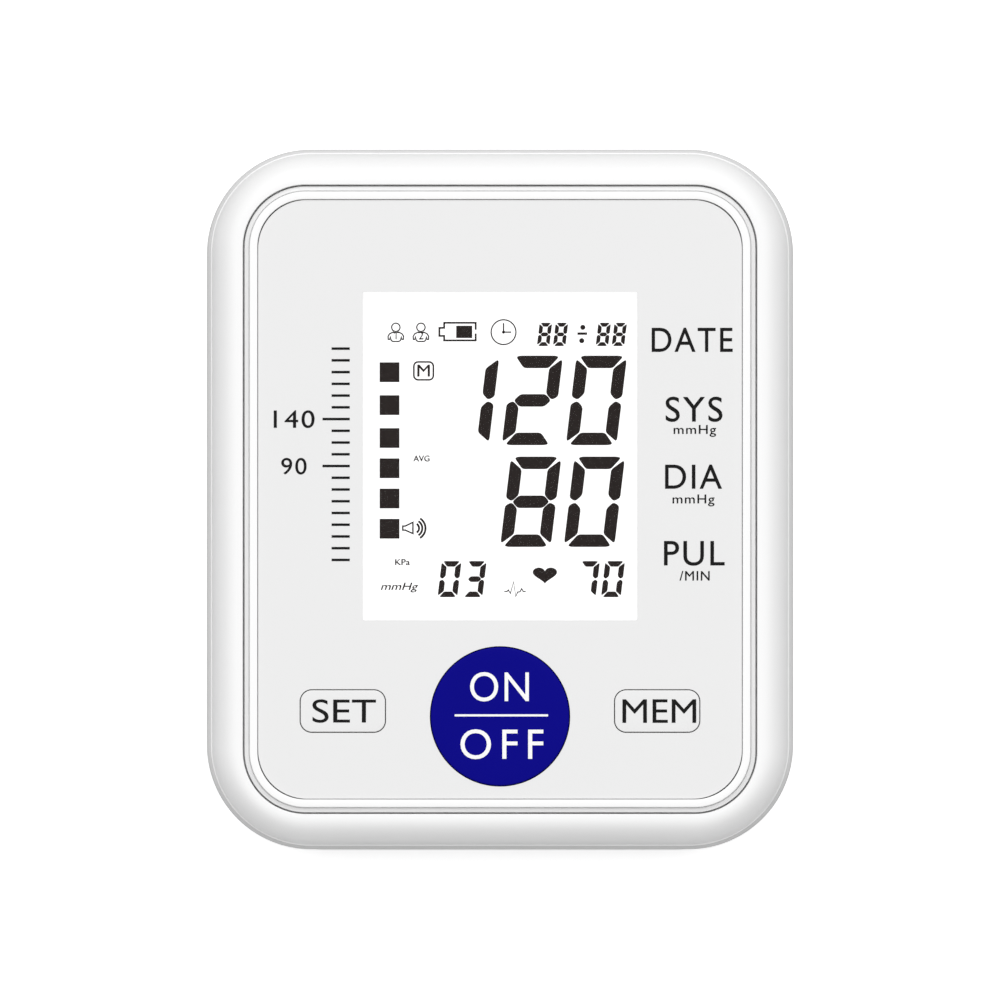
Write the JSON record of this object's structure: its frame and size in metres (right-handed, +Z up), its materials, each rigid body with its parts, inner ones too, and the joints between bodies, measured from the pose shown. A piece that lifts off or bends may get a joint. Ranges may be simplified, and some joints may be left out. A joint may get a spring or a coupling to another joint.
{
  "type": "upper arm blood pressure monitor",
  "caption": "Wedge-shaped desk blood pressure monitor with a large tilted display, a round power button, two keys, an air socket and a battery bay in its base.",
  "frame": {"origin": "on the table under the centre of the housing's outline", "axes": "+X to the user's right, +Y away from the user, +Z up; the display face leans back 10 degrees from level, so its normal points up and towards the user"},
  "size_m": [0.11, 0.1295, 0.0497],
  "materials": {
    "front_shell": "moulded white plastic, soft gloss",
    "base_shell": "moulded white plastic, soft gloss",
    "trim_white": "moulded white plastic, gloss",
    "panel_grey": "printed light grey panel, satin",
    "lens_clear": "clear window",
    "display_white": "liquid crystal cell, white ground",
    "diffuser_white": "diffuser block",
    "elastomer_pink": "layered rubber connector",
    "board_green": "solder-masked circuit board",
    "switch_black": "moulded black plastic",
    "plunger_amber": "moulded plastic",
    "button_blue": "moulded deep blue plastic, satin",
    "key_grey": "moulded light grey plastic",
    "ivory_plastic": "moulded off-white plastic",
    "socket_grey": "moulded grey plastic",
    "steel": "drawn steel",
    "nickel": "nickel-plated spring steel",
    "silicone": "translucent silicone",
    "cell_wrap": "printed film wrap",
    "black_rubber": "black rubber",
    "foot_rubber": "grey rubber",
    "print_black": "black print",
    "print_white": "white print"
  },
  "bodies": {
    "housing": {"air_manifold": "ivory_plastic", "air_socket": "socket_grey", "battery_cell_1": "cell_wrap", "battery_cell_2": "cell_wrap", "battery_cell_3": "cell_wrap", "battery_cell_4": "cell_wrap", "battery_spring_1": "nickel", "battery_spring_2": "nickel", "battery_spring_3": "nickel", "battery_spring_4": "nickel", "bottom_cover": "base_shell", "case_screw_1": "steel", "case_screw_2": "steel", "case_screw_3": "steel", "case_screw_4": "steel", "contact_front_1": "nickel", "contact_front_2": "nickel", "contact_rear_1": "nickel", "contact_rear_2": "nickel", "contact_rear_3": "nickel", "display_frame": "trim_white", "display_lens": "lens_clear", "face_panel": "panel_grey", "foot_1": "foot_rubber", "foot_2": "foot_rubber", "foot_3": "foot_rubber", "foot_4": "foot_rubber", "front_cover": "front_shell", "lcd_backlight": "diffuser_white", "lcd_glass": "display_white", "main_pcb": "board_green", "mem_switch": "switch_black", "microcontroller": "switch_black", "pcb_screw_1": "steel", "pcb_screw_2": "steel", "pcb_screw_3": "steel", "port_board": "board_green", "power_switch": "switch_black", "pressure_sensor": "ivory_plastic", "pump_head": "ivory_plastic", "pump_motor": "steel", "pump_sleeve": "black_rubber", "pump_tube": "silicone", "sensor_tube": "silicone", "set_switch": "switch_black", "socket_tube": "silicone", "speaker": "switch_black", "usb_port": "steel", "valve_body": "switch_black", "valve_tube": "silicone", "zebra_strip": "elastomer_pink"},
    "power_key": {"power_button": "button_blue", "power_plunger": "plunger_amber"},
    "set_key": {"set_button": "key_grey", "set_plunger": "plunger_amber"},
    "mem_key": {"mem_button": "key_grey", "mem_plunger": "plunger_amber"},
    "battery_door": {"battery_cover": "base_shell"},
    "pump_rotor": {"pump_eccentric": "steel"},
    "valve_core": {"valve_plunger": "steel"}
  },
  "joints": [
    {"name": "power_press", "type": "slide", "parent": "housing", "child": "power_key", "axis": [0, 0.1736, -0.9848], "range_m": [0, 0.0005], "stiffness_N_per_m": 600, "springref_m": -0.0002},
    {"name": "set_press", "type": "slide", "parent": "housing", "child": "set_key", "axis": [0, 0.1736, -0.9848], "range_m": [0, 0.0005], "stiffness_N_per_m": 400, "springref_m": -0.0002},
    {"name": "mem_press", "type": "slide", "parent": "housing", "child": "mem_key", "axis": [0, 0.1736, -0.9848], "range_m": [0, 0.0005], "stiffness_N_per_m": 400, "springref_m": -0.0002},
    {"name": "battery_cover_hinge", "type": "hinge", "parent": "housing", "child": "battery_door", "pos_m": [0, -0.0505, 0.0026], "axis": [-1, 0, 0], "range_deg": [0, 75]},
    {"name": "pump_spin", "type": "hinge", "parent": "housing", "child": "pump_rotor", "pos_m": [-0.008, 0.0435, 0.0197], "axis": [1, 0, 0], "continuous": true},
    {"name": "valve_slide", "type": "slide", "parent": "housing", "child": "valve_core", "axis": [-1, 0, 0], "range_m": [0, 0.0006], "stiffness_N_per_m": 200, "springref_m": -0.0002}
  ]
}
